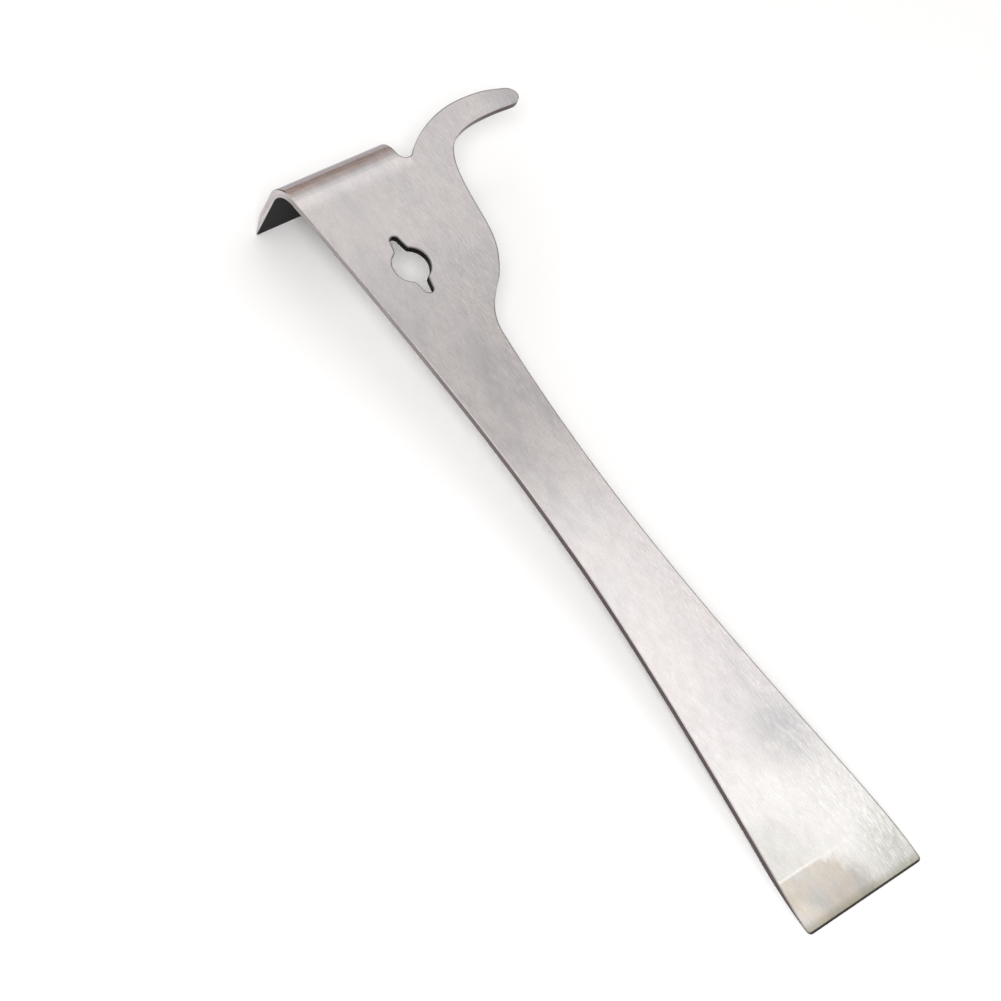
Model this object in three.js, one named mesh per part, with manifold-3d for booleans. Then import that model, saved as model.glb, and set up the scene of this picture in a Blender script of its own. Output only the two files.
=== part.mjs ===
// Hive tool: one piece of stainless steel plate, stamped to outline, ground thin at both scraping edges
// and bent once at the head.
//
// Millimetres. The tool is shaped in its blank's frame: x runs from the blade's cutting edge to the head,
// y runs across it with the frame hook on +y, and z goes up from the back face to the face the head bends
// towards. At the end the tool is turned over to lie head down, propped on its two scraping edges.

import * as THREE from 'three';
import { mergeVertices } from 'three/addons/utils/BufferGeometryUtils.js';
import Module from 'manifold-3d';

const wasm = await Module();
wasm.setup();

// ---- driving dimensions ----
const PLATE = 2.7;                  // plate thickness

const BLADE_LEFT = -20.8;           // blade's two sides beside the cutting edge
const BLADE_RIGHT = 21.2;
const BLADE_CORNER = 1.5;           // radius of the cutting edge's corners
const EDGE_LAND = 0.5;              // thickness left at the cutting edge
const BEVEL_LENGTH = 18.7;          // main ground bevel, on the head's side
const BACK_GRIND_LENGTH = 15.8;     // shallow grind on the back face
const BACK_GRIND_DEPTH = 0.5;
const BLADE_REACH = 30;             // half the width that the grinding takes away
const GRIND_CLEAR = 3;              // how far it runs past the steel

const BEND_START = 257.2;           // where the flat shank ends
const BEND_RADIUS = 7;              // inside radius of the bend
const BEND_ANGLE = THREE.MathUtils.degToRad(85);
const SCRAPER_LENGTH = 20;          // flat part of the scraper past the bend
const SCRAPER_BEVEL = 8.1;          // ground bevel on the scraper's outer face
const SCRAPER_LAND = 0.5;           // thickness left at the scraper's edge
const HEAD_LEFT = -20.2;            // left side at the bend
const SCRAPER_LEFT = -22.4;         // left and right ends of the scraper's edge
const SCRAPER_RIGHT = 19.5;

// Points where the outline's curves meet. "heading" is the outline's direction there in degrees, walking
// round it with the steel on the right, and "before" and "after" are the lengths of the curves' handles.
const RIGHT_WAIST = { x: 149.4, y: 9.9, heading: 0, before: 64, after: 18 };
const HOOK_ROOT = { x: 191.5, y: 11.35, heading: 4, before: 12, after: 10 };
const SHOULDER = { x: 209, y: 22.2, heading: 36, before: 4.3, after: 9.5 };
const SADDLE = { x: 230.5, y: 29.75, heading: 5.5, before: 9.6, after: 24.4 };
const CROOK = { x: 258.7, y: 56, heading: 90, before: 20, after: 2 };
const HOOK_END_INNER = { x: 258.4, y: 62.5, heading: 90, before: 2, after: 4.5 };
const HOOK_END_OUTER = { x: 264.8, y: 62.5, heading: -74, before: 4.5, after: 5 };
const HOOK_BACK = { x: 267.1, y: 48, heading: -90, before: 8, after: 13 };
const NOTCH = { x: 258.7, y: 20.7, radius: 2.75 };    // relief between the scraper and the hook
const LEFT_WAIST = { x: 122.2, y: -12.3, heading: 180, before: 22.7, after: 25.6 };
const BLADE_FLARE = { x: 18.5, y: -19.6, heading: 186, before: 35, after: 8 };

const KEYHOLE = { x: 223.5, y: -0.4, radius: 5.92 };    // round hole with a slot at each end
const SLOT_REACH = 10.6;            // from the hole's centre to each slot's end
const SLOT_END_RADIUS = 1.5;
const SLOT_ROOT_HALF = 2.2;         // half the slot's width where it meets the hole
const SLOT_FILLET = 0.8;            // reach of the small rounds there
const SLOT_TAPER = 0.12;            // what each side of the slot has narrowed by past its round

const CURVE_STEPS = 20;             // facets on each curved stretch
const BEND_STEPS = 24;
const BEND_LAP = 5;                 // how far the bent head runs back into the blank before they are joined

// ---- solids ----
function solidFrom(geometry) {
  geometry.deleteAttribute('normal');
  geometry.deleteAttribute('uv');
  const merged = mergeVertices(geometry, 1e-5);
  const vertProperties = new Float32Array(merged.attributes.position.array);
  const triVerts = new Uint32Array(merged.index.array);
  return new wasm.Manifold(new wasm.Mesh({ numProp: 3, vertProperties, triVerts }));
}

function geometryFrom(solid) {
  const mesh = solid.getMesh();
  const geometry = new THREE.BufferGeometry();
  geometry.setAttribute('position', new THREE.BufferAttribute(new Float32Array(mesh.vertProperties), 3));
  geometry.setIndex(new THREE.BufferAttribute(new Uint32Array(mesh.triVerts), 1));
  geometry.computeVertexNormals();
  return geometry;
}

// A cubic curve between two points of the outline, leaving one and reaching the other along their headings.
function sweep(shape, from, to) {
  const leaving = THREE.MathUtils.degToRad(from.heading);
  const reaching = THREE.MathUtils.degToRad(to.heading);
  shape.bezierCurveTo(
    from.x + from.after * Math.cos(leaving), from.y + from.after * Math.sin(leaving),
    to.x - to.before * Math.cos(reaching), to.y - to.before * Math.sin(reaching),
    to.x, to.y,
  );
}

// ---- the stamped blank, up to the bend ----
function bladeAndShankRight(shape) {
  const corner = { x: BLADE_CORNER, y: BLADE_RIGHT, heading: 0, after: 25 };
  shape.moveTo(0, corner.y - BLADE_CORNER);
  shape.quadraticCurveTo(0, corner.y, corner.x, corner.y);
  sweep(shape, corner, RIGHT_WAIST);
  sweep(shape, RIGHT_WAIST, HOOK_ROOT);
}

function shoulderAndHook(shape) {
  const foot = NOTCH.radius * Math.SQRT1_2;
  const notchTop = { x: NOTCH.x - foot, y: NOTCH.y + foot, heading: -145, before: 3.5 };
  const corners = [
    HOOK_ROOT, SHOULDER, SADDLE, CROOK, HOOK_END_INNER, HOOK_END_OUTER, HOOK_BACK, notchTop,
  ];
  for (let i = 1; i < corners.length; i++) sweep(shape, corners[i - 1], corners[i]);
}

function notchAndBendLine(shape) {
  const across = BEND_START - NOTCH.x;
  const lowest = Math.PI + Math.acos(-across / NOTCH.radius);
  shape.absarc(NOTCH.x, NOTCH.y, NOTCH.radius, 0.75 * Math.PI, lowest, false);
  shape.lineTo(BEND_START, HEAD_LEFT);
}

function shankLeft(shape) {
  const head = { x: BEND_START, y: HEAD_LEFT, heading: 174.4, after: 88 };
  const corner = { x: BLADE_CORNER, y: BLADE_LEFT, heading: 181, before: 6 };
  sweep(shape, head, LEFT_WAIST);
  sweep(shape, LEFT_WAIST, BLADE_FLARE);
  sweep(shape, BLADE_FLARE, corner);
  shape.quadraticCurveTo(0, corner.y, 0, corner.y + BLADE_CORNER);
  shape.lineTo(0, BLADE_RIGHT - BLADE_CORNER);
}

// One slot of the key hole, on the side that "way" points to, joining the hole's two half circles.
function keySlot(path, way) {
  const { x, y, radius } = KEYHOLE;
  const root = Math.sqrt(radius ** 2 - SLOT_ROOT_HALF ** 2);
  const side = SLOT_ROOT_HALF - SLOT_TAPER;
  const end = SLOT_REACH - SLOT_END_RADIUS;
  const start = way > 0 ? -Math.PI / 2 : Math.PI / 2;
  const filletEnd = x + way * (root + SLOT_FILLET);
  path.quadraticCurveTo(x + way * root, y - way * SLOT_ROOT_HALF, filletEnd, y - way * side);
  path.lineTo(x + way * end, y - way * SLOT_END_RADIUS);
  path.absarc(x + way * end, y, SLOT_END_RADIUS, start, start + Math.PI, false);
  path.lineTo(filletEnd, y + way * side);
}

function keyHole() {
  const { x, y, radius } = KEYHOLE;
  const root = Math.sqrt(radius ** 2 - SLOT_ROOT_HALF ** 2);
  const bite = Math.atan2(SLOT_ROOT_HALF, root) + SLOT_FILLET / radius;
  const across = radius * Math.cos(bite);
  const up = radius * Math.sin(bite);
  const path = new THREE.Path();
  path.absarc(x, y, radius, bite, Math.PI - bite, false);
  keySlot(path, -1);
  path.quadraticCurveTo(x - root, y - SLOT_ROOT_HALF, x - across, y - up);
  path.absarc(x, y, radius, Math.PI + bite, 2 * Math.PI - bite, false);
  keySlot(path, 1);
  path.quadraticCurveTo(x + root, y + SLOT_ROOT_HALF, x + across, y + up);
  return path;
}

function blank() {
  const shape = new THREE.Shape();
  bladeAndShankRight(shape);
  shoulderAndHook(shape);
  notchAndBendLine(shape);
  shankLeft(shape);
  shape.holes.push(keyHole());
  const options = { depth: PLATE, bevelEnabled: false, curveSegments: CURVE_STEPS };
  return solidFrom(new THREE.ExtrudeGeometry(shape, options));
}

// ---- the bent head ----
const ARC_LENGTH = (BEND_RADIUS + PLATE / 2) * BEND_ANGLE;
const FLAT_LENGTH = BEND_START + ARC_LENGTH + SCRAPER_LENGTH;

// A station is a slice across the strip at the length s along the flat blank: where its inner and outer
// faces are after bending, and how far it reaches to each side.
function station(s, thickness) {
  const past = s - BEND_START;
  const turn = THREE.MathUtils.clamp(past / ARC_LENGTH, 0, 1) * BEND_ANGLE;
  const straight = past < 0 ? past : Math.max(0, past - ARC_LENGTH);
  const along = new THREE.Vector2(Math.cos(turn), Math.sin(turn));
  const inward = new THREE.Vector2(-along.y, along.x);
  const centre = new THREE.Vector2(BEND_START, PLATE + BEND_RADIUS);
  const inner = centre.clone().addScaledVector(inward, -BEND_RADIUS).addScaledVector(along, straight);
  const outer = inner.clone().addScaledVector(inward, -thickness);
  return { inner, outer, left: stripLeft(s), right: stripRight(s) };
}

function stripLeft(s) {
  return THREE.MathUtils.mapLinear(s, BEND_START, FLAT_LENGTH, HEAD_LEFT, SCRAPER_LEFT);
}

function stripRight(s) {
  if (s < BEND_START) return NOTCH.y - NOTCH.radius - BEND_LAP;
  if (s < NOTCH.x) return NOTCH.y - Math.sqrt(NOTCH.radius ** 2 - (s - NOTCH.x) ** 2);
  return THREE.MathUtils.mapLinear(s, NOTCH.x, FLAT_LENGTH, NOTCH.y - NOTCH.radius, SCRAPER_RIGHT);
}

function loft(stations) {
  const positions = stations.flatMap(({ inner, outer, left, right }) => [
    inner.x, left, inner.y,
    inner.x, right, inner.y,
    outer.x, right, outer.y,
    outer.x, left, outer.y,
  ]);
  const index = [0, 1, 2, 0, 2, 3];
  for (let i = 0; i < stations.length - 1; i++) {
    for (let k = 0; k < 4; k++) {
      const a = 4 * i + k;
      const b = 4 * i + (k + 1) % 4;
      index.push(a, a + 4, b, b, a + 4, b + 4);
    }
  }
  const last = 4 * (stations.length - 1);
  index.push(last, last + 2, last + 1, last, last + 3, last + 2);
  const geometry = new THREE.BufferGeometry();
  geometry.setAttribute('position', new THREE.Float32BufferAttribute(positions, 3));
  geometry.setIndex(index);
  return geometry;
}

function bentHead() {
  const lengths = [BEND_START - BEND_LAP];
  for (let i = 0; i <= BEND_STEPS; i++) lengths.push(BEND_START + ARC_LENGTH * i / BEND_STEPS);
  lengths.push(FLAT_LENGTH - SCRAPER_BEVEL);
  const stations = lengths.map((s) => station(s, PLATE));
  stations.push(station(FLAT_LENGTH, SCRAPER_LAND));
  return solidFrom(loft(stations));
}

// ---- grinding at the cutting edge ----
// A wedge that runs right across the tool, given by its outline seen from the side.
function wedge(corners) {
  const outline = new THREE.Shape(corners.map(([x, z]) => new THREE.Vector2(x, z)));
  const geometry = new THREE.ExtrudeGeometry(outline, { depth: 2 * BLADE_REACH, bevelEnabled: false });
  geometry.rotateX(Math.PI / 2);
  geometry.translate(0, BLADE_REACH, 0);
  return solidFrom(geometry);
}

function mainBevel() {
  const top = BACK_GRIND_DEPTH + EDGE_LAND;
  const slope = (PLATE - top) / BEVEL_LENGTH;
  return wedge([
    [-GRIND_CLEAR, top - slope * GRIND_CLEAR],
    [BEVEL_LENGTH + GRIND_CLEAR, PLATE + slope * GRIND_CLEAR],
    [-GRIND_CLEAR, PLATE + GRIND_CLEAR],
  ]);
}

function backGrind() {
  const slope = BACK_GRIND_DEPTH / BACK_GRIND_LENGTH;
  return wedge([
    [-GRIND_CLEAR, BACK_GRIND_DEPTH + slope * GRIND_CLEAR],
    [-GRIND_CLEAR, -GRIND_CLEAR],
    [BACK_GRIND_LENGTH + GRIND_CLEAR, -slope * GRIND_CLEAR],
  ]);
}

function hiveTool() {
  const body = blank().add(bentHead()).subtract(mainBevel()).subtract(backGrind());
  const steel = new THREE.MeshStandardMaterial({ color: 0xc4bebc, roughness: 0.36, metalness: 1 });
  const mesh = new THREE.Mesh(geometryFrom(body), steel);
  mesh.name = 'hive_tool';
  return mesh;
}

// ---- the finished tool, lying head down on its two scraping edges ----
function restTilt() {
  const tip = station(FLAT_LENGTH, SCRAPER_LAND).inner;
  const bladeTop = BACK_GRIND_DEPTH + EDGE_LAND;
  return Math.atan2(tip.y - bladeTop, tip.x);
}

const turned = new THREE.Group();
turned.rotation.x = Math.PI;
turned.add(hiveTool());

const model = new THREE.Group();
model.rotation.y = -restTilt();
model.add(turned);
model.updateMatrixWorld(true);

const box = new THREE.Box3().setFromObject(model, true);
const centre = box.getCenter(new THREE.Vector3());
model.position.set(-centre.x, -centre.y, -box.min.z);

export default model;
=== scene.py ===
import math
from collections import namedtuple

import bpy
import numpy as np
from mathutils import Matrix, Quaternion, Vector
from mathutils.geometry import delaunay_2d_cdt


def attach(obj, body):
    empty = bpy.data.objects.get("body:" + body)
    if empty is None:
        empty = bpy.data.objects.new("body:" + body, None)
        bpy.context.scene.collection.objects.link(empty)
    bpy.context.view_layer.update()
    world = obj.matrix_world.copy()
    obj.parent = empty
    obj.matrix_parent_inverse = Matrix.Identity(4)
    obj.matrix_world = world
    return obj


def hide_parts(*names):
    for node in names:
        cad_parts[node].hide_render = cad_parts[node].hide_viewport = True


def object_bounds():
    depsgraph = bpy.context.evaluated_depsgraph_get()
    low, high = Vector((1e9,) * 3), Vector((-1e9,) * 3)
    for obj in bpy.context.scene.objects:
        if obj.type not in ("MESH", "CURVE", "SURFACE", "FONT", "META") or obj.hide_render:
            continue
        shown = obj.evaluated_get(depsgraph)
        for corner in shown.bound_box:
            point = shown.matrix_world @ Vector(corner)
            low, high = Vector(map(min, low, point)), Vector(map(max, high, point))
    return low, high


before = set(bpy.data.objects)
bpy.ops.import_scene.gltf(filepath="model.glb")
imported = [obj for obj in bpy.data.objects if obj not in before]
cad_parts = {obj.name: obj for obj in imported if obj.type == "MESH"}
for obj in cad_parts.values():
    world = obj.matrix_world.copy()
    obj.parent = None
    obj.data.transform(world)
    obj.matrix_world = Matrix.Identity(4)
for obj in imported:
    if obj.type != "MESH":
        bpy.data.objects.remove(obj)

CAD_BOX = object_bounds()
MM = 0.001

# ---------------------------------------------------------------------------------------------------
# The tool's dimensions, in millimetres, as the CAD part has them. The tool is shaped in its flat blank's
# frame: s runs along the blank from the cutting edge to the head, v runs across it with the frame hook on
# +v, and w goes up from the back face to the inner face, the one that the head bends towards.
# ---------------------------------------------------------------------------------------------------
PLATE = 2.7
BLADE_LEFT, BLADE_RIGHT, BLADE_CORNER = -20.8, 21.2, 1.5
EDGE_LAND = 0.5
BEVEL_LENGTH = 18.7
BACK_GRIND_LENGTH, BACK_GRIND_DEPTH = 15.8, 0.5
BEND_START, BEND_RADIUS, BEND_ANGLE = 257.2, 7.0, math.radians(85)
SCRAPER_LENGTH, SCRAPER_BEVEL, SCRAPER_LAND = 20.0, 8.1, 0.5
HEAD_LEFT, SCRAPER_LEFT, SCRAPER_RIGHT = -20.2, -22.4, 19.5
NOTCH_S, NOTCH_V, NOTCH_RADIUS = 258.7, 20.7, 2.75
HOLE_S, HOLE_V, HOLE_RADIUS = 223.5, -0.4, 5.92
SLOT_REACH, SLOT_END_RADIUS, SLOT_ROOT_HALF, SLOT_FILLET, SLOT_TAPER = 10.6, 1.5, 2.2, 0.8, 0.12
SLOT_ROOT = math.sqrt(HOLE_RADIUS ** 2 - SLOT_ROOT_HALF ** 2)   # where a slot meets the round hole
SLOT_BITE = math.atan2(SLOT_ROOT_HALF, SLOT_ROOT) + SLOT_FILLET / HOLE_RADIUS   # the angle it takes there

# Points where the outline's curves meet: the outline's heading there in degrees, and the lengths of the
# curves' handles before and after the point.
Corner = namedtuple("Corner", "s v heading before after")
BLADE_RIGHT_END = Corner(BLADE_CORNER, BLADE_RIGHT, 0, 0, 25)
RIGHT_WAIST = Corner(149.4, 9.9, 0, 64, 18)
HOOK_ROOT = Corner(191.5, 11.35, 4, 12, 10)
SHOULDER = Corner(209, 22.2, 36, 4.3, 9.5)
SADDLE = Corner(230.5, 29.75, 5.5, 9.6, 24.4)
CROOK = Corner(258.7, 56, 90, 20, 2)
HOOK_END_INNER = Corner(258.4, 62.5, 90, 2, 4.5)
HOOK_END_OUTER = Corner(264.8, 62.5, -74, 4.5, 5)
HOOK_BACK = Corner(267.1, 48, -90, 8, 13)
NOTCH_FOOT = NOTCH_RADIUS * math.sqrt(0.5)
NOTCH_TOP = Corner(NOTCH_S - NOTCH_FOOT, NOTCH_V + NOTCH_FOOT, -145, 3.5, 0)
HEAD_LEFT_END = Corner(BEND_START, HEAD_LEFT, 174.4, 0, 88)
LEFT_WAIST = Corner(122.2, -12.3, 180, 22.7, 25.6)
BLADE_FLARE = Corner(18.5, -19.6, 186, 35, 8)
BLADE_LEFT_END = Corner(BLADE_CORNER, BLADE_LEFT, 181, 6, 0)

# The finish of the real edges, which the CAD part leaves square.
EDGE_ROUND = 0.32         # how far the faces are rounded over at the cut edge
NOSE_ROUND = 0.6          # the same on the back face along the cutting edge, which is stoned off
NOSE_LENGTH = 2           # how far from the cutting edge that ends
LAND_SHARE = 0.42         # the most of the local thickness that one rounding takes
ROUND_STEPS = 4
FACE_MARGIN = 0.25        # flat strip beside the rounding, which keeps the shading of the faces clean
SCRAPER_CORNER = 0.7      # radius of the scraper's two corners

OUTLINE_STEP = 1.1        # spacing of the points along the outline
OUTLINE_TURN = 4.0        # and the most degrees that it turns between two
SPARE_TURN = 8            # degrees added to each curve's own turn, for the curves that turn back
GRID_STEP = 2.4           # spacing of the points inside the faces
GRID_CLEAR = 0.9          # how far they stay from the outline's inner ring
GRID_SIDES = (-24, 68)    # the grid's reach across the blank
TIP_ROWS = (1.2, 14.5)    # where its rows on the ground tip start and end
SHANK_START = 2.5         # from the main bevel's crest to the first row on the shank
SHANK_END = 1.5           # from the last of those, at least, to the bend
BEND_LEAD = 0.8           # from the row that leads into the bend to the bend
SCRAPER_END = 1           # from the last row on the scraper's flat, at least, to its bevel's crest
GROUND_START = 1.5        # from that crest to the first row on the bevel
GROUND_STEP = 1.2         # and the spacing of the rows there
ROW_SLACK = 0.05          # a row adds no point this close to the outline's own, as a share of their gap
FILLET_STEPS = 6
BEND_ROWS = 26
CREST = (-0.55, -0.25, 0.25, 0.55)   # rows beside a ground bevel's crest, which is slightly rounded
WALL_STEPS = (0, 0, 0, 0.3, 1)       # how far each step of the rounding has the cut wall's finish
RIM_STEPS = (0.45, 1, 1, 0.7, 0)     # and how far it has the rim's: painted shade, or a painted highlight
SHADED_RIM_SIDE = (0.6, 0.8)               # the edges that face this way, in s and v, away from the camera, get painted shade
SHADED_RIM_LEAST, SHADED_RIM_RISE = 0.1, 0.3     # how far round they must face to have some, and how soon to have all
HOLE_RIM_SHADE = 0.7                      # and the key hole's rim has at least this much painted shade all round
GRAIN_SCALE = 300                    # millimetres of the blank to one unit of the grain's UV map

ARC_LENGTH = (BEND_RADIUS + PLATE / 2) * BEND_ANGLE
FLAT_LENGTH = BEND_START + ARC_LENGTH + SCRAPER_LENGTH


# ---- the blank's outline ----
def cubic(a, b):
    """Points of the outline's curve from corner a up to corner b, without b itself."""
    start, end = np.array([a.s, a.v]), np.array([b.s, b.v])
    out, into = math.radians(a.heading), math.radians(b.heading)
    leave = start + a.after * np.array([math.cos(out), math.sin(out)])
    reach = end - b.before * np.array([math.cos(into), math.sin(into)])
    bows = [leave - start, reach - leave, end - reach]
    length = sum(np.hypot(*bow) for bow in bows)
    turn = abs(b.heading - a.heading) + SPARE_TURN
    count = math.ceil(max(length / OUTLINE_STEP, turn / OUTLINE_TURN))
    t = np.arange(count)[:, None] / count
    return (1 - t) ** 3 * start + 3 * t * (1 - t) ** 2 * leave + 3 * t * t * (1 - t) * reach + t ** 3 * end


def quadratic(start, corner, end, count=8):
    """Points of a rounded corner from start up to end, without end itself."""
    start, corner, end = map(np.array, (start, corner, end))
    t = np.arange(count)[:, None] / count
    return (1 - t) ** 2 * start + 2 * t * (1 - t) * corner + t * t * end


def arc(s, v, radius, first, last):
    """Points round a centre, with both ends."""
    turn = abs(last - first)
    count = math.ceil(max(turn * radius / OUTLINE_STEP, math.degrees(turn) / OUTLINE_TURN))
    angles = np.linspace(first, last, count + 1)
    return np.c_[s + radius * np.cos(angles), v + radius * np.sin(angles)]


def line(start, end):
    """Points from start up to end, without end itself."""
    count = math.ceil(math.dist(start, end) / OUTLINE_STEP)
    t = np.arange(count)[:, None] / count
    return (1 - t) * np.array(start) + t * np.array(end)


def strip_left(s):
    """The bent strip's left side, as v at s."""
    return np.interp(s, [BEND_START, FLAT_LENGTH], [HEAD_LEFT, SCRAPER_LEFT])


def strip_right(s):
    """Its right side, which starts in the relief notch."""
    if s < NOTCH_S:
        return NOTCH_V - math.sqrt(NOTCH_RADIUS ** 2 - (s - NOTCH_S) ** 2)
    return np.interp(s, [NOTCH_S, FLAT_LENGTH], [NOTCH_V - NOTCH_RADIUS, SCRAPER_RIGHT])


def bend_rows():
    """Lengths along the blank where the bend is cut into facets, then the scraper's own."""
    bend = [BEND_START + ARC_LENGTH * i / BEND_ROWS for i in range(BEND_ROWS + 1)]
    crest = FLAT_LENGTH - SCRAPER_BEVEL
    flat = np.arange(BEND_START + ARC_LENGTH + GRID_STEP, crest - SCRAPER_END, GRID_STEP)
    ground = np.arange(crest + GROUND_START, FLAT_LENGTH - SCRAPER_CORNER, GROUND_STEP)
    return [*bend, *flat, *[crest + c for c in CREST], *ground]


def outer_loop():
    """The whole blank's outline, walked with the steel on the right."""
    corner = BLADE_CORNER
    chain = [BLADE_RIGHT_END, RIGHT_WAIST, HOOK_ROOT, SHOULDER, SADDLE, CROOK, HOOK_END_INNER,
             HOOK_END_OUTER, HOOK_BACK, NOTCH_TOP]
    lowest = math.pi + math.acos((NOTCH_S - BEND_START) / NOTCH_RADIUS)
    rows = bend_rows()
    end = FLAT_LENGTH
    parts = [quadratic((0, BLADE_RIGHT - corner), (0, BLADE_RIGHT), (corner, BLADE_RIGHT))]
    parts += [cubic(a, b) for a, b in zip(chain, chain[1:])]
    parts += [arc(NOTCH_S, NOTCH_V, NOTCH_RADIUS, 0.75 * math.pi, lowest)]
    parts += [np.array([(s, strip_right(s)) for s in rows[1:]])]
    parts += [quadratic((end - SCRAPER_CORNER, strip_right(end - SCRAPER_CORNER)), (end, SCRAPER_RIGHT),
                        (end, SCRAPER_RIGHT - SCRAPER_CORNER))]
    parts += [line((end, SCRAPER_RIGHT - SCRAPER_CORNER), (end, SCRAPER_LEFT + SCRAPER_CORNER))]
    parts += [quadratic((end, SCRAPER_LEFT + SCRAPER_CORNER), (end, SCRAPER_LEFT),
                        (end - SCRAPER_CORNER, strip_left(end - SCRAPER_CORNER)))]
    parts += [np.array([(s, strip_left(s)) for s in rows[:0:-1]])]
    chain = [HEAD_LEFT_END, LEFT_WAIST, BLADE_FLARE, BLADE_LEFT_END]
    parts += [cubic(a, b) for a, b in zip(chain, chain[1:])]
    parts += [quadratic((corner, BLADE_LEFT), (0, BLADE_LEFT), (0, BLADE_LEFT + corner))]
    parts += [line((0, BLADE_LEFT + corner), (0, BLADE_RIGHT - corner))]
    return np.concatenate(parts)


def key_slot(way):
    """One slot of the key hole, on the side that "way" points to: 1 is towards the head, -1 the blade."""
    across, up = HOLE_RADIUS * math.cos(SLOT_BITE), HOLE_RADIUS * math.sin(SLOT_BITE)
    near, far = SLOT_ROOT + SLOT_FILLET, SLOT_REACH - SLOT_END_RADIUS
    side = SLOT_ROOT_HALF - SLOT_TAPER
    points = [
        quadratic((across, -up), (SLOT_ROOT, -SLOT_ROOT_HALF), (near, -side), FILLET_STEPS),
        line((near, -side), (far, -SLOT_END_RADIUS)),
        arc(far, 0, SLOT_END_RADIUS, -math.pi / 2, math.pi / 2),
        line((far, SLOT_END_RADIUS), (near, side))[1:],
        quadratic((near, side), (SLOT_ROOT, SLOT_ROOT_HALF), (across, up), FILLET_STEPS),
    ]
    return way * np.concatenate(points) + (HOLE_S, HOLE_V)


def hole_loop():
    """The key hole's outline: the round hole's two arcs with a slot between them at each end."""
    top = arc(HOLE_S, HOLE_V, HOLE_RADIUS, SLOT_BITE, math.pi - SLOT_BITE)[:-1]
    bottom = arc(HOLE_S, HOLE_V, HOLE_RADIUS, math.pi + SLOT_BITE, 2 * math.pi - SLOT_BITE)[:-1]
    return np.concatenate([top, key_slot(-1), bottom, key_slot(1)])


def with_rows(loop, rows):
    """The loop with a point added wherever it crosses one of the rows."""
    points = []
    for a, b in zip(loop, np.roll(loop, -1, axis=0)):
        points.append(a)
        crossed = [(r - a[0]) / (b[0] - a[0]) for r in rows if (a[0] - r) * (b[0] - r) < 0]
        points += [a + t * (b - a) for t in sorted(crossed) if ROW_SLACK < t < 1 - ROW_SLACK]
    return np.array(points)


def inward(loop):
    """Unit vectors from each point of a loop into the steel."""
    along = np.roll(loop, -1, axis=0) - np.roll(loop, 1, axis=0)
    along /= np.linalg.norm(along, axis=1)[:, None]
    return np.c_[along[:, 1], -along[:, 0]]


# ---- the faces' heights, and the bend ----
def back_height(s):
    """Height of the back face, which is ground at the blade and on the scraper's outer side."""
    blade = BACK_GRIND_DEPTH * np.clip(1 - s / BACK_GRIND_LENGTH, 0, None)
    past = np.clip((s - FLAT_LENGTH + SCRAPER_BEVEL) / SCRAPER_BEVEL, 0, None)
    return blade + (PLATE - SCRAPER_LAND) * past


def inner_height(s):
    """Height of the inner face, with the main bevel at the blade."""
    edge = BACK_GRIND_DEPTH + EDGE_LAND
    return np.minimum(PLATE, edge + (PLATE - edge) / BEVEL_LENGTH * s)


def bent(s, v, w):
    """The blank's points after bending: only the scraper, below the notch, is bent."""
    past = np.where(v < NOTCH_V, s - BEND_START, np.minimum(s - BEND_START, 0))
    turn = np.clip(past / ARC_LENGTH, 0, 1) * BEND_ANGLE
    straight = np.clip(past - ARC_LENGTH, 0, None)
    radius = BEND_RADIUS + PLATE - w
    x = BEND_START + np.sin(turn) * radius + np.cos(turn) * straight
    z = PLATE + BEND_RADIUS - np.cos(turn) * radius + np.sin(turn) * straight
    unbent = past <= 0
    return np.c_[np.where(unbent, s, x), v, np.where(unbent, w, z)]


# ---- the mesh ----
def ring_heights(loop, steps):
    """The rings round one loop, from the inner face over the cut edge to the back face.

    Each is (points, heights): the face's margin, the rounded edge, the cut wall and the same again."""
    normal = inward(loop)
    rings = []
    for side in (1, -1):
        made = []
        for k in range(-1, steps + 1):
            angle = max(k, 0) / steps * math.pi / 2
            s0 = loop[:, 0]
            thick = inner_height(s0) - back_height(s0)
            drop = np.minimum(EDGE_ROUND, LAND_SHARE * thick)
            nose = NOSE_ROUND * np.clip(1 - s0 / NOSE_LENGTH, 0, 1) if side < 0 else 0
            width = np.maximum(drop, nose)
            inset = width * (1 - math.sin(angle)) + (FACE_MARGIN if k < 0 else 0)
            points = loop + normal * inset[:, None]
            face = inner_height(points[:, 0]) if side > 0 else back_height(points[:, 0])
            made.append((points, face - side * drop * (1 - math.cos(angle))))
        rings += made if side > 0 else made[::-1]
    return rings


def rim_shading(loop):
    """1 where the loop's edge faces away from the camera and gets painted shade, down to -1 where it gets a
    painted highlight.
    """
    facing = -inward(loop) @ np.array(SHADED_RIM_SIDE)
    return np.clip((facing - SHADED_RIM_LEAST) / SHADED_RIM_RISE, -1, 1)


def inside(points, loops):
    """Which points lie in the steel, by counting the loops' edges to one side of each."""
    crossings = np.zeros(len(points), int)
    for loop in loops:
        a, b = loop, np.roll(loop, -1, axis=0)
        for (s0, v0), (s1, v1) in zip(a, b):
            straddles = (v0 > points[:, 1]) != (v1 > points[:, 1])
            if straddles.any():
                cross = s0 + (points[:, 1] - v0) / (v1 - v0 if v1 != v0 else 1) * (s1 - s0)
                crossings += straddles & (points[:, 0] < cross)
    return crossings % 2 == 1


def clear_of(points, loops, gap):
    """Which points are further than gap from every point of the loops."""
    rim = np.concatenate(loops)
    near = np.array([np.min(np.sum((rim - p) ** 2, axis=1)) for p in points])
    return near > gap * gap


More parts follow.
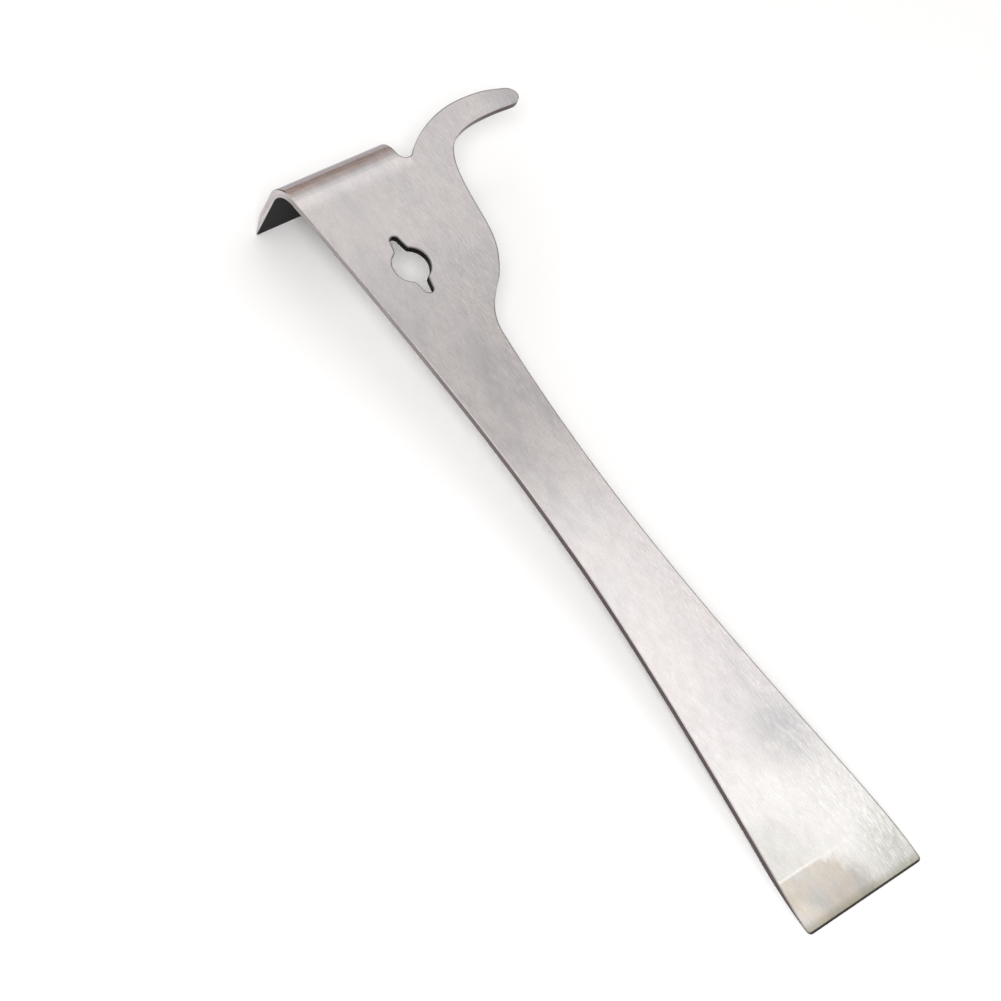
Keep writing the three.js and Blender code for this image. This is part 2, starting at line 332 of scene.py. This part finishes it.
def face_rows():
    """Lengths along the blank where the faces have a row of points."""
    blade = [*np.arange(*TIP_ROWS, GRID_STEP), *[BACK_GRIND_LENGTH + c for c in CREST],
             *[BEVEL_LENGTH + c for c in CREST]]
    shank = np.arange(BEVEL_LENGTH + SHANK_START, BEND_START - SHANK_END, GRID_STEP)
    return sorted([*blade, *shank, BEND_START - BEND_LEAD, *bend_rows()])


def grid_points(rings):
    """Points inside the faces, in rows across the blank, and the edges that hold each row together."""
    rows = face_rows()
    columns = np.arange(*GRID_SIDES, GRID_STEP)
    points = np.array([(s, v) for s in rows for v in columns])
    keep = np.flatnonzero(inside(points, rings))
    keep = keep[clear_of(points[keep], rings, GRID_CLEAR)]
    number = {old: new for new, old in enumerate(keep)}
    edges = [(number[i], number[i + 1]) for i in keep if i + 1 in number and (i + 1) % len(columns)]
    return points[keep], edges


def triangulate(rings):
    """Fills the faces between the loops' inner rings. Returns the points, rings first, and triangles."""
    grid, grid_edges = grid_points(rings)
    points = np.concatenate([*rings, grid])
    edges, first = [], 0
    for ring in rings:
        count = len(ring)
        edges += [(first + i, first + (i + 1) % count) for i in range(count)]
        first += count
    edges += [(first + a, first + b) for a, b in grid_edges]
    made = delaunay_2d_cdt([Vector(p) for p in points], edges, [], 0, 1e-6)
    if len(made[0]) != len(points):
        raise RuntimeError("the outline crosses itself")
    triangles = np.array(made[2])
    middle = points[triangles].mean(axis=1)
    triangles = triangles[inside(middle, rings)]
    a, b, c = (points[triangles[:, k]] for k in range(3))
    turned = (b[:, 0] - a[:, 0]) * (c[:, 1] - a[:, 1]) - (b[:, 1] - a[:, 1]) * (c[:, 0] - a[:, 0]) < 0
    triangles[turned] = triangles[turned][:, ::-1]
    return points, triangles


def tool_mesh():
    """The tool as a closed mesh: its points in the blank's frame, its faces, and each point's finish as
    wall and as rim. One ring of each loop is shared by a face and the wall, so the mesh is closed."""
    crests = [BACK_GRIND_LENGTH, BEVEL_LENGTH]
    loops = [with_rows(outer_loop(), [c + d for c in crests for d in CREST]), hole_loop()]
    walls = [ring_heights(loop, ROUND_STEPS) for loop in loops]
    flat, triangles = triangulate([wall[0][0] for wall in walls])
    under, under_triangles = triangulate([wall[-1][0] for wall in walls])

    blank = [np.c_[flat, inner_height(flat[:, 0])]]
    offset = len(flat)
    blank.append(np.c_[under, back_height(under[:, 0])])
    faces = [list(t) for t in triangles]
    faces += [[int(i) + offset for i in t[::-1]] for t in under_triangles]

    total, first = offset + len(under), 0
    edges = [np.zeros((total, 2))]
    for loop, wall in zip(loops, walls):
        count = len(loop)
        rim = rim_shading(loop) if loop is loops[0] else np.maximum(rim_shading(loop), HOLE_RIM_SHADE)
        starts = [first]
        for k, (points, heights) in enumerate(wall[1:-1]):
            step = min(k, 2 * ROUND_STEPS + 1 - k)
            starts.append(total)
            blank.append(np.c_[points, heights])
            edges.append(np.c_[np.full(count, WALL_STEPS[step]), RIM_STEPS[step] * rim])
            total += count
        starts.append(offset + first)
        for a, b in zip(starts, starts[1:]):
            for i in range(count):
                j = (i + 1) % count
                faces.append([a + i, a + j, b + j, b + i])
        first += count
    return np.concatenate(blank), [[int(i) for i in f] for f in faces], np.concatenate(edges)


def laid_down(blank):
    """The bent tool's points in the row's frame, in metres: head down, on its two scraping edges."""
    s, v, w = blank.T
    tool = bent(s, v, w)
    end = bent(np.array([FLAT_LENGTH]), np.array([0]), np.array([PLATE]))[0]
    tilt = math.atan2(end[2] - BACK_GRIND_DEPTH - EDGE_LAND, end[0])
    turned = tool * (1, -1, -1)
    x = math.cos(tilt) * turned[:, 0] - math.sin(tilt) * turned[:, 2]
    z = math.sin(tilt) * turned[:, 0] + math.cos(tilt) * turned[:, 2]
    world = MM * np.c_[x, turned[:, 1], z]
    low, high = world.min(axis=0), world.max(axis=0)
    cad_low, cad_high = (np.array(c) for c in CAD_BOX)
    shift = (cad_low + cad_high - low - high) / 2
    shift[2] = cad_low[2] - low[2]
    return world + shift


def build_tool():
    """The tool as one object, with its finish stored on its points."""
    blank, faces, edges = tool_mesh()
    mesh = bpy.data.meshes.new("hive_tool_steel")
    mesh.from_pydata(laid_down(blank).tolist(), [], faces)
    mesh.validate()
    mesh.shade_smooth()
    store_finish(mesh, blank, edges)
    tool = bpy.data.objects.new("hive_tool_steel", mesh)
    bpy.context.scene.collection.objects.link(tool)
    return tool


def store_finish(mesh, blank, edges):
    """Keeps with each point where it is in the blank, and which finish it has: x is 1 on the cut edge,
    y is 1 on a rim with painted shade and -1 on a rim with a painted highlight, and z is 1 on the back
    grind. The UV map's second axis runs along the blank, and so does the grain."""
    s, v, w = blank.T
    near_back = w - back_height(s) < inner_height(s) - w
    grind = near_back & (s < BACK_GRIND_LENGTH)
    place = mesh.attributes.new("blank", "FLOAT_VECTOR", "POINT")
    place.data.foreach_set("vector", blank.astype(np.float32).ravel())
    finish = mesh.attributes.new("finish", "FLOAT_VECTOR", "POINT")
    finish.data.foreach_set("vector", np.c_[edges, grind].astype(np.float32).ravel())
    corner = np.zeros(len(mesh.loops), np.int32)
    mesh.loops.foreach_get("vertex_index", corner)
    uv = mesh.uv_layers.new(name="grain")
    uv.data.foreach_set("uv", (np.c_[v, s][corner] / GRAIN_SCALE).astype(np.float32).ravel())


# ---- node helpers ----
class Nodes:
    """Adds shader nodes to a material and links them: a value, or another node's output, per input."""

    def __init__(self, tree):
        self.tree = tree
        self.tree.nodes.clear()

    def put(self, kind, inputs=None, **settings):
        node = self.tree.nodes.new(kind)
        for name, value in settings.items():
            setattr(node, name, value)
        for name, value in (inputs or {}).items():
            socket = node.inputs[name]
            if isinstance(value, bpy.types.NodeSocket):
                self.tree.links.new(value, socket)
            else:
                socket.default_value = value
        return node

    def math(self, operation, a, b=0.0):
        return self.put("ShaderNodeMath", {0: a, 1: b}, operation=operation).outputs[0]

    def span(self, value, low, high, out_low=0.0, out_high=1.0, smooth=True):
        """Maps value from low..high to out_low..out_high."""
        kind = "SMOOTHSTEP" if smooth else "LINEAR"
        inputs = {0: value, 1: low, 2: high, 3: out_low, 4: out_high}
        return self.put("ShaderNodeMapRange", inputs, interpolation_type=kind).outputs[0]

    def noise(self, place, stretch, detail=3.0, roughness=0.55, distortion=0.0):
        """Noise with features about 1 mm across, divided by stretch along each of the blank's axes."""
        scaled = self.put("ShaderNodeVectorMath", {0: place, 1: stretch}, operation="MULTIPLY").outputs[0]
        inputs = {"Vector": scaled, "Scale": 1.0, "Detail": detail, "Roughness": roughness,
                  "Distortion": distortion}
        return self.put("ShaderNodeTexNoise", inputs).outputs[0]

    def mix(self, factor, a, b, blend="MIX"):
        """Blends two colours. The node has a set of sockets for each type: 6 and 7 are the colours."""
        inputs = {0: factor, 6: a, 7: b}
        return self.put("ShaderNodeMix", inputs, data_type="RGBA", blend_type=blend).outputs[2]


# ---- the steel ----
BARE = (0.745, 0.712, 0.714, 1.0)         # the bright brushed faces
BARE_WARM = (0.745, 0.702, 0.692, 1.0)    # and where they are a little tarnished
BARE_BLADE = (0.745, 0.732, 0.718, 1.0)   # the blade, rubbed brighter in use
SHEARED_AND_SHADED = (0.135, 0.106, 0.104, 1.0)      # the cut edge along the blade: its own duller finish, darkened further with painted shade
SHEARED_HEAD_AND_SHADED = (0.42, 0.38, 0.375, 1.0)   # the same by the head, where it was dressed, with less painted shade
DRESSED_END = (0.62, 0.585, 0.585, 1.0)   # the scraper's own sides
RIM_SHADE = (0.17, 0.155, 0.15, 1.0)           # painted shade: the thin dark line along the edges that face away from the camera, and round the key hole
HOLE_WALL_SHADE = (0.012, 0.01, 0.01, 1.0)        # the key hole's wall, painted near-black as shade
INSIDE_PAINTED_SHADE = (0.014, 0.013, 0.013, 1.0)  # painted shade on the inside of the bend and of the scraper, whose steel is brushed like the rest
CROWN_RIM_DARK = (0.16, 0.11, 0.1, 1.0)          # a dark line on the bend's left rim over its crown, in place of the rim's painted highlight
NOSE = (0.06, 0.056, 0.05, 1.0)           # the stoned cutting edge

# What a mark multiplies the steel's colour by.
DULL, DULL_BLOTCH = (0.7, 0.69, 0.675, 1.0), (0.74, 0.69, 0.63, 1.0)
FACE_DIMMED = (0.8, 0.8, 0.79, 1.0)
CREST_HIGHLIGHT = (1.22, 1.22, 1.22, 1.0)
CLEANED = (1.25, 1.25, 1.25, 1.0)
TIP_SHADE, NOSE_SHADE = (0.8, 0.8, 0.785, 1.0), (0.72, 0.715, 0.65, 1.0)
SPECKLED = (0.74, 0.75, 0.715, 1.0)
SMUDGED = (0.79, 0.8, 0.815, 1.0)
HOOK_GREY = (0.78, 0.79, 0.8, 1.0)
HOOK_WALL = (0.35, 0.32, 0.31, 1.0)
# a painted highlight on the rims that face the camera
RIM_HIGHLIGHT = (1.1, 1.1, 1.1, 1.0)
# The bend's face: a painted highlight along its start, a brown tint with streaks, and painted shade over
# its crown.
BEND_HIGHLIGHT, BEND_BROWN = (1.2, 1.2, 1.2, 1.0), (1.05, 0.93, 0.88, 1.0)
BEND_STREAK, BEND_CROWN_SHADE = (0.93, 0.81, 0.72, 1.0), (0.4, 0.36, 0.4, 1.0)

# Round marks, in millimetres: the centre on the back face, and how far from it each is full and gone.
Mark = namedtuple("Mark", "s v full gone")
DULL_PATCH = Mark(-2, -16, 19, 23.5)      # on the ground tip's left
CLEAN_CORNER = Mark(2, -20, 3, 9)         # inside that patch
FACE_DIM_MARK = Mark(14, -20, 8, 30)               # a darker mark behind it, on the face
SPECKLED_CORNER = Mark(11, 22, 4, 19)     # on the tip's right
SMUDGE = Mark(50, 8, 3, 15)               # on the blade
PATCH_WAVER = 1.2                         # how far the dull patch's outline strays
CREST_HALF = 0.7                          # half the width of the painted highlight along the back grind's crest
CREST_DIMS, CREST_SHOWS = (19, 22), (0.9, 0.1)   # it is brightest beside the patch: how far, and how much

# Where one finish gives way to another: the change's start and end, along the blank ...
NOSE_END, NOSE_SHADE_END, TIP_SHADE_END = (0.35, 0.75), (0.8, 3.6), (1, 17)
BLADE_END, SHEEN_END, SHEAR_END, COARSE_END = (30, 75), (125, 160), (110, 255), (205, 240)
# ... across it, and up through the plate.
SHEEN_SIDES, COARSE_SIDE, HOOK_WALL_START, HOOK_GREY_START = (-11, 11), (-2, 14), (22, 30), (52, 66)
HEAD_SIDE, INSIDE_START = (NOTCH_V - 0.2, NOTCH_V + 0.2), (2.2, 2.5)

# The same round the bend, from where it starts. A band has the change up to it and the change down.
DARK_START, DRESSED_START = (-2, 3), (0, 6)
BEND_HIGHLIGHT_BAND, BROWN_BAND = ((-6, -1.5), (-0.8, 0.5)), ((0.8, 3), (4.6, 6.4))
CROWN_BAND, CROWN_RIM_BAND = ((4.6, 6.4), (11, 17)), ((3, 4.5), (8, 10))

# The patterns' frequencies, in features to a millimetre along s, v and w.
STREAKS, HAIRS, FLECKS = (0.24, 2.3, 2.3), (0.45, 6.5, 6.5), (0.42, 1.9, 1.9)
CLOUDS, PATCHES, SPECKS = (0.035, 0.075, 0.075), (0.16, 0.3, 0.3), (0.32, 1.1, 1.1)
SCRATCHES, SCRATCH_SLANT = (0.045, 2.4, 2.4), math.radians(14)
BLOTCHES, BROWN_STREAKS, SHEAR_LINES = (0.11, 0.14, 0.14), (1.1, 0.09, 0.09), (0.12, 0.12, 3.0)

# Parts of a pattern's range: nearly all of it, its middle, and the peaks that make a mark.
MOST, MIDDLE = (0.3, 0.7), (0.35, 0.65)
SHANK_MIX, SPECK_MIX, SMUDGE_MIX = (0.4, 0.6), (0.36, 0.64), (0.3, 0.6)
FLECK_PEAKS, SCRATCH_PEAKS, STREAK_PEAKS = (0.55, 0.68), (0.68, 0.76), (0.47, 0.6)

# How much each pattern adds to the steel's brightness, or multiplies it by.
STREAK_TONE, HAIR_TONE, FLECK_TONE, SCRATCH_TONE = (-0.1, 0.075), (-0.04, 0.04), (0.0, 0.1), (0.0, 0.07)
CLOUD_TONE, PATCH_TONE, SHEEN_TONE, SHEAR_TONE = (0.915, 1.055), (0.94, 1.055), (1.045, 0.96), (0.72, 1.28)
COARSE_GAIN, HEAD_GAIN = (0.85, 1.8), (1.0, 0.7)   # the grain, across the tool and along it

RIM_HIGHLIGHT_RANGE, CROWN_RIM_RANGE = (0.0, -1.0), (-0.2, -0.8)   # of a rim's finish, towards its painted highlight

CLOUD_ROUGHNESS, STREAK_ROUGHNESS = (0.22, 0.27), (-0.02, 0.03)
STREAK_HEIGHT, HAIR_HEIGHT = 0.7, 0.3
BRUSH_ANISOTROPY = 0.9
BRUSH_DEPTH, BRUSH_STRENGTH = 0.03 * MM, 0.2
EDGE_ROUGHNESS, DARK_ROUGHNESS = 0.45, 0.7
DARK_SPECULAR = 0.15      # acts only on the painted shade inside the bend, the one part that isn't metallic


def multiply(n, colour, factor):
    """The colour times a factor that is one number for all three channels."""
    even = n.put("ShaderNodeCombineXYZ", {0: factor, 1: factor, 2: factor}).outputs[0]
    return n.mix(1.0, colour, even, "MULTIPLY")


def stain(n, colour, tint, mask):
    """The colour times a tint, where the mask is 1."""
    return n.mix(mask, colour, n.mix(1.0, colour, tint, "MULTIPLY"))


def both(n, a, b):
    """Where both masks are 1."""
    return n.math("MULTIPLY", a, b)


def fade(n, value, change):
    """1 before the change from start to end, and 0 after it."""
    return n.span(value, *change, 1.0, 0.0)


def distance(n, place, s, v, w=0.0):
    return n.put("ShaderNodeVectorMath", {0: place, 1: (s, v, w)}, operation="DISTANCE").outputs["Value"]


def marked(n, place, mark):
    """1 in the middle of a round mark, down to 0 outside it."""
    return fade(n, distance(n, place, mark.s, mark.v), (mark.full, mark.gone))


def from_bend(change):
    """A change, or a band's two changes, given from the bend's start, as lengths along the blank."""
    return tuple(BEND_START + c for c in change)


def bend_band(n, along, band):
    up, down = band
    return both(n, n.span(along, *from_bend(up)), fade(n, along, from_bend(down)))


def brushed_tone(n, place, along, across, grain, clouds, patches):
    """How bright the brushed faces are: grain along the blank, coarser towards the hook's side, with soft
    mottling, bright flecks, a few handling scratches, and a painted sheen brighter on the shank's left."""
    coarse = n.span(across, *COARSE_SIDE, *COARSE_GAIN)
    coarse = n.math("MULTIPLY", coarse, n.span(along, *COARSE_END, *HEAD_GAIN))
    flecks = n.noise(place, FLECKS, detail=3.0, roughness=0.7, distortion=0.2)
    flecks = n.span(flecks, *FLECK_PEAKS, *FLECK_TONE)
    tone = n.math("ADD", 1.0, n.math("MULTIPLY", coarse, n.math("ADD", grain, flecks)))
    tone = n.math("MULTIPLY", tone, n.span(clouds, *MIDDLE, *CLOUD_TONE, False))
    tone = n.math("MULTIPLY", tone, n.span(patches, *MOST, *PATCH_TONE, False))
    # Painted sheen: the blade and shank are brighter towards their left edge than their right, until
    # SHEEN_END.
    sheen = n.span(across, *SHEEN_SIDES, *SHEEN_TONE)
    sheen = n.put("ShaderNodeMix", {0: n.span(along, *SHEEN_END), 2: sheen, 3: 1.0}).outputs[0]
    tone = n.math("MULTIPLY", tone, sheen)
    slanted = n.put("ShaderNodeVectorRotate", {"Vector": place, "Angle": SCRATCH_SLANT}).outputs[0]
    scratch = n.span(n.noise(slanted, SCRATCHES, detail=2.0), *SCRATCH_PEAKS, *SCRATCH_TONE)
    return n.math("ADD", tone, scratch)


def ground_tip(n, steel, place, along, grind, patches, specks):
    """The back grind: duller than the face, with a dull patch on its left, a painted highlight along its
    crest, then dark along the edge.
    """
    reach = distance(n, place, DULL_PATCH.s, DULL_PATCH.v)
    reach = n.math("ADD", reach, n.span(patches, *MOST, -PATCH_WAVER, PATCH_WAVER, False))
    dull = fade(n, reach, (DULL_PATCH.full, DULL_PATCH.gone))
    blotch = n.span(n.noise(place, BLOTCHES, detail=1.0), *MIDDLE)
    steel = stain(n, steel, n.mix(blotch, DULL, DULL_BLOTCH), both(n, grind, dull))
    face = n.math("SUBTRACT", 1.0, grind)
    # The face is darker behind the dull patch.
    steel = stain(n, steel, FACE_DIMMED, both(n, face, marked(n, place, FACE_DIM_MARK)))

    # A painted highlight along the back grind's crest.
    rise = n.span(along, BACK_GRIND_LENGTH - CREST_HALF, BACK_GRIND_LENGTH)
    crest = both(n, rise, fade(n, along, (BACK_GRIND_LENGTH, BACK_GRIND_LENGTH + CREST_HALF)))
    crest = both(n, crest, n.span(reach, *CREST_DIMS, *CREST_SHOWS))
    steel = stain(n, steel, CREST_HIGHLIGHT, crest)

    steel = stain(n, steel, CLEANED, both(n, grind, marked(n, place, CLEAN_CORNER)))
    shade = n.span(along, *TIP_SHADE_END, 1.0, 0.0, False)
    steel = stain(n, steel, TIP_SHADE, both(n, grind, shade))
    steel = stain(n, steel, NOSE_SHADE, both(n, grind, fade(n, along, NOSE_SHADE_END)))
    steel = stain(n, steel, SPECKLED, both(n, marked(n, place, SPECKLED_CORNER), specks))
    return n.mix(fade(n, along, NOSE_END), steel, NOSE)


def bent_head(n, steel, place, along, across):
    """The face has a painted highlight along the start of the bend, then is browned, with painted shade
    over its crown.
    """
    head = fade(n, across, HEAD_SIDE)
    # Painted highlight along the start of the bend.
    steel = stain(n, steel, BEND_HIGHLIGHT, both(n, bend_band(n, along, BEND_HIGHLIGHT_BAND), head))
    brown = both(n, bend_band(n, along, BROWN_BAND), head)
    steel = stain(n, steel, BEND_BROWN, brown)
    streak = n.span(n.noise(place, BROWN_STREAKS, detail=3.0, roughness=0.6), *STREAK_PEAKS)
    steel = stain(n, steel, BEND_STREAK, both(n, streak, brown))
    # Painted shade over the crown.
    return stain(n, steel, BEND_CROWN_SHADE, both(n, bend_band(n, along, CROWN_BAND), head))


def painted_inside_shade(n, along, across, up, cut):
    """1 where shade is painted on the inner face, from the bend to the scraper's edge, and 0 on the cut
    edges beside it.
    """
    dark = both(n, n.span(along, *from_bend(DARK_START)), n.span(up, *INSIDE_START))
    dark = both(n, dark, fade(n, across, HEAD_SIDE))
    return both(n, dark, n.math("SUBTRACT", 1.0, cut))


def cut_wall(n, place, along, across):
    """The cut edges, with the shear's lines along them, darkened with painted shade, near-black in the key
    hole.
    """
    # The walls' dark colour is partly their own duller finish, partly painted shade.
    wall = n.mix(n.span(along, *SHEAR_END), SHEARED_AND_SHADED, SHEARED_HEAD_AND_SHADED)
    scraper = both(n, n.span(along, *from_bend(DRESSED_START)), fade(n, across, HEAD_SIDE))
    wall = n.mix(scraper, wall, DRESSED_END)
    wall = stain(n, wall, HOOK_WALL, n.span(across, *HOOK_WALL_START))
    lines = n.noise(place, SHEAR_LINES, detail=3.0, roughness=0.7)
    wall = multiply(n, wall, n.span(lines, *MOST, *SHEAR_TONE, False))
    # Painted shade: the key hole's wall is near-black.
    from_hole = distance(n, place, HOLE_S, HOLE_V, PLATE / 2)
    return n.mix(fade(n, from_hole, (SLOT_REACH + 1, SLOT_REACH + 2)), wall, HOLE_WALL_SHADE)


def brushed_steel():
    """Stainless steel, brushed along the blank, with the marks of a used tool. Shade and light are painted
    on it too: on the cut edges and rims, at the bend, and a near-black inside.
    """
    material = bpy.data.materials.new("brushed_steel")
    material.use_nodes = True
    n = Nodes(material.node_tree)
    place = n.put("ShaderNodeAttribute", attribute_name="blank").outputs["Vector"]
    finish = n.put("ShaderNodeAttribute", attribute_name="finish").outputs["Vector"]
    cut, rim, grind = n.put("ShaderNodeSeparateXYZ", {0: finish}).outputs
    along, across, up = n.put("ShaderNodeSeparateXYZ", {0: place}).outputs

    streaks = n.noise(place, STREAKS, detail=4.0, roughness=0.7, distortion=0.15)
    hairs = n.noise(place, HAIRS, detail=2.0)
    clouds = n.noise(place, CLOUDS, detail=3.0, roughness=0.6, distortion=0.4)
    patches = n.noise(place, PATCHES, detail=3.0, roughness=0.65, distortion=0.3)
    specks = n.span(n.noise(place, SPECKS, detail=4.0, roughness=0.7), *SPECK_MIX)
    grain = n.math("ADD", n.span(streaks, *MOST, *STREAK_TONE, False),
                   n.span(hairs, *MOST, *HAIR_TONE, False))

    tone = brushed_tone(n, place, along, across, grain, clouds, patches)
    shank = n.mix(n.span(clouds, *SHANK_MIX), BARE, BARE_WARM)
    steel = multiply(n, n.mix(n.span(along, *BLADE_END), BARE_BLADE, shank), tone)
    steel = ground_tip(n, steel, place, along, grind, patches, specks)
    steel = bent_head(n, steel, place, along, across)
    steel = stain(n, steel, SMUDGED, both(n, marked(n, place, SMUDGE), n.span(patches, *SMUDGE_MIX)))
    steel = stain(n, steel, HOOK_GREY, n.span(across, *HOOK_GREY_START))

    # Painted highlight on the rims that face the camera.
    steel = stain(n, steel, RIM_HIGHLIGHT, n.span(rim, *RIM_HIGHLIGHT_RANGE))
    # A dark line on the bend's left rim over the crown, in place of the painted highlight.
    crown_rim = both(n, bend_band(n, along, CROWN_RIM_BAND), n.span(rim, *CROWN_RIM_RANGE))
    steel = n.mix(crown_rim, steel, CROWN_RIM_DARK)
    dark = painted_inside_shade(n, along, across, up, cut)
    # Painted shade: the inside of the bend and scraper gets a near-black colour that isn't metallic, in
    # place of its brushed steel.
    steel = n.mix(dark, steel, multiply(n, INSIDE_PAINTED_SHADE, tone))
    # Painted shade on the rims that face away from the camera, and round the key hole.
    shaded_rim = n.math("MAXIMUM", rim, 0.0)
    colour = n.mix(cut, n.mix(shaded_rim, steel, RIM_SHADE), cut_wall(n, place, along, across))

    roughness = n.math("ADD", n.span(clouds, *MIDDLE, *CLOUD_ROUGHNESS, False),
                       n.span(streaks, *MOST, *STREAK_ROUGHNESS, False))
    edge = n.math("MAXIMUM", cut, n.math("ABSOLUTE", rim))
    roughness = n.math("MAXIMUM", roughness, n.math("MULTIPLY", edge, EDGE_ROUGHNESS))
    roughness = n.math("MAXIMUM", roughness, n.math("MULTIPLY", dark, DARK_ROUGHNESS))

    height = n.math("MULTIPLY", streaks, STREAK_HEIGHT)
    height = n.math("ADD", height, n.math("MULTIPLY", hairs, HAIR_HEIGHT))
    bump = n.put("ShaderNodeBump", {
        "Strength": BRUSH_STRENGTH, "Distance": BRUSH_DEPTH, "Height": height,
    }).outputs[0]
    tangent = n.put("ShaderNodeTangent", direction_type="UV_MAP", uv_map="grain").outputs[0]
    shader = n.put("ShaderNodeBsdfPrincipled", {
        "Base Color": colour, "Metallic": n.math("SUBTRACT", 1.0, dark), "Roughness": roughness,
        "Anisotropic": BRUSH_ANISOTROPY, "Specular IOR Level": DARK_SPECULAR,
        "Normal": bump, "Tangent": tangent,
    })
    n.put("ShaderNodeOutputMaterial", {"Surface": shader.outputs[0]})
    return material


# ---- the studio, in metres ----
FLOOR_HALF = 6.0
FLOOR_DIM, FLOOR_BRIGHT = (0.915, 0.91317, 0.908595, 1.0), (0.93, 0.92814, 0.92349, 1.0)
FLOOR_MOTTLE, FLOOR_ROUGHNESS, FLOOR_SPECULAR = 6.0, 0.9, 0.1

SKY = (1, 0.985, 0.985, 1)
SKY_LOW, SKY_HIGH = 0.26, 0.62            # its strength at the horizon and overhead
SKY_RISE = (-0.05, 0.8)                   # the heights of view between which it grows
SKY_BESIDE, SKY_LIFT = 0.5, 0.3           # it grows sooner to the blade's side

# The soft boxes in a row over the tool, which its face reflects to the camera. Each one's place and width
# along the tool set how far its light reaches on the steel.
OVERHEAD_Y, OVERHEAD_Z, OVERHEAD_DEPTH = -0.39, 0.7, 0.72
WHITE, CREAM = (1, 1, 1), (1, 0.995, 0.975)
Overhead = namedtuple("Overhead", "name x width radiance colour")
OVERHEAD = [
    Overhead("shank", 0.012, 0.23, 0.66, WHITE),
    Overhead("blade", -0.18, 0.16, 0.98, CREAM),
    Overhead("head", 0.42, 0.3, 0.23, WHITE),
    Overhead("bend", 0.452, 0.16, 1.7, WHITE),
]
FRONT, FRONT_SIZE, FRONT_RADIANCE = (-0.46, 0.6, 1.1), (0.5, 0.4), 14.8
SIDE, SIDE_TARGET, SIDE_SIZE, SIDE_RADIANCE = (0.15, 1.1, 0.7), (0.1, 0, 0), (1.2, 0.5), 1.1

CAMERA_AZIMUTH, CAMERA_ELEVATION, CAMERA_ROLL = (math.radians(a) for a in (217.24, 55.66, 19.69))
CAMERA_AIM = Vector((0.0174, 0.03565, -0.0122))   # what it looks at, from the middle of the tool's box
CAMERA_DISTANCE = 0.6764
LENS, SENSOR = 84.2, 36.0                         # in millimetres
CLIP_NEAR, CLIP_FAR = 0.01, 100


def floor_material():
    material = bpy.data.materials.new("pale_floor")
    material.use_nodes = True
    n = Nodes(material.node_tree)
    spot = n.put("ShaderNodeTexCoord").outputs["Object"]
    inputs = {"Vector": spot, "Scale": FLOOR_MOTTLE, "Detail": 3.0}
    mottle = n.put("ShaderNodeTexNoise", inputs).outputs[0]
    colour = n.mix(n.span(mottle, *MOST), FLOOR_DIM, FLOOR_BRIGHT)
    shader = n.put("ShaderNodeBsdfPrincipled", {
        "Base Color": colour, "Roughness": FLOOR_ROUGHNESS, "Specular IOR Level": FLOOR_SPECULAR,
    })
    n.put("ShaderNodeOutputMaterial", {"Surface": shader.outputs[0]})
    return material


def floor():
    mesh = bpy.data.meshes.new("floor")
    corners = [(-1, -1), (1, -1), (1, 1), (-1, 1)]
    points = [(FLOOR_HALF * x, FLOOR_HALF * y, CAD_BOX[0].z) for x, y in corners]
    mesh.from_pydata(points, [], [(0, 1, 2, 3)])
    mesh.materials.append(floor_material())
    made = bpy.data.objects.new("floor", mesh)
    bpy.context.scene.collection.objects.link(made)


def sky():
    world = bpy.data.worlds.new("studio")
    world.use_nodes = True
    bpy.context.scene.world = world
    n = Nodes(world.node_tree)
    way = n.put("ShaderNodeTexCoord").outputs["Generated"]
    x, _, z = n.put("ShaderNodeSeparateXYZ", {0: way}).outputs
    beside = n.math("MAXIMUM", n.math("SUBTRACT", SKY_BESIDE, x), 0.0)
    height = n.math("ADD", z, n.math("MULTIPLY", beside, SKY_LIFT))
    strength = n.span(height, *SKY_RISE, SKY_LOW, SKY_HIGH)
    made = n.put("ShaderNodeBackground", {"Color": SKY, "Strength": strength})
    n.put("ShaderNodeOutputWorld", {"Surface": made.outputs[0]})


def softbox(name, centre, target, size, radiance, colour=WHITE):
    """A rectangular light of that size and radiance, turned to its target."""
    light = bpy.data.lights.new(name, "AREA")
    light.shape = "RECTANGLE"
    light.size, light.size_y = size
    light.energy = radiance * math.pi * size[0] * size[1]
    light.color = colour
    made = bpy.data.objects.new(name, light)
    made.location = centre
    away = Vector(target) - Vector(centre)
    made.rotation_euler = away.to_track_quat("-Z", "Y").to_euler()
    bpy.context.scene.collection.objects.link(made)
    return made


def studio_light():
    """The soft boxes over the tool, one by the camera that the steel doesn't reflect, and one beside it."""
    for box in OVERHEAD:
        size = (box.width, OVERHEAD_DEPTH)
        below = (box.x, OVERHEAD_Y, 0)
        softbox(box.name, (box.x, OVERHEAD_Y, OVERHEAD_Z), below, size, box.radiance, box.colour)
    front = softbox("front", FRONT, (0, 0, 0), FRONT_SIZE, FRONT_RADIANCE)
    front.visible_glossy = False
    softbox("left", SIDE, SIDE_TARGET, SIDE_SIZE, SIDE_RADIANCE)


def camera():
    """The camera, at its azimuth and elevation about the point that it looks at, then rolled."""
    level = math.cos(CAMERA_ELEVATION)
    back = Vector((math.sin(CAMERA_AZIMUTH) * level, -math.cos(CAMERA_AZIMUTH) * level,
                   math.sin(CAMERA_ELEVATION)))
    data = bpy.data.cameras.new("camera")
    data.sensor_width, data.lens = SENSOR, LENS
    data.clip_start, data.clip_end = CLIP_NEAR, CLIP_FAR
    made = bpy.data.objects.new("camera", data)
    made.rotation_mode = "QUATERNION"
    made.rotation_quaternion = Quaternion(back, CAMERA_ROLL) @ (-back).to_track_quat("-Z", "Y")
    made.location = (CAD_BOX[0] + CAD_BOX[1]) / 2 + CAMERA_AIM + back * CAMERA_DISTANCE
    bpy.context.scene.collection.objects.link(made)
    bpy.context.scene.camera = made


tool = build_tool()
tool.data.materials.append(brushed_steel())
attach(tool, "root")
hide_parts("hive_tool")
floor()
sky()
studio_light()
camera()
bpy.context.scene.view_settings.view_transform = "Standard"
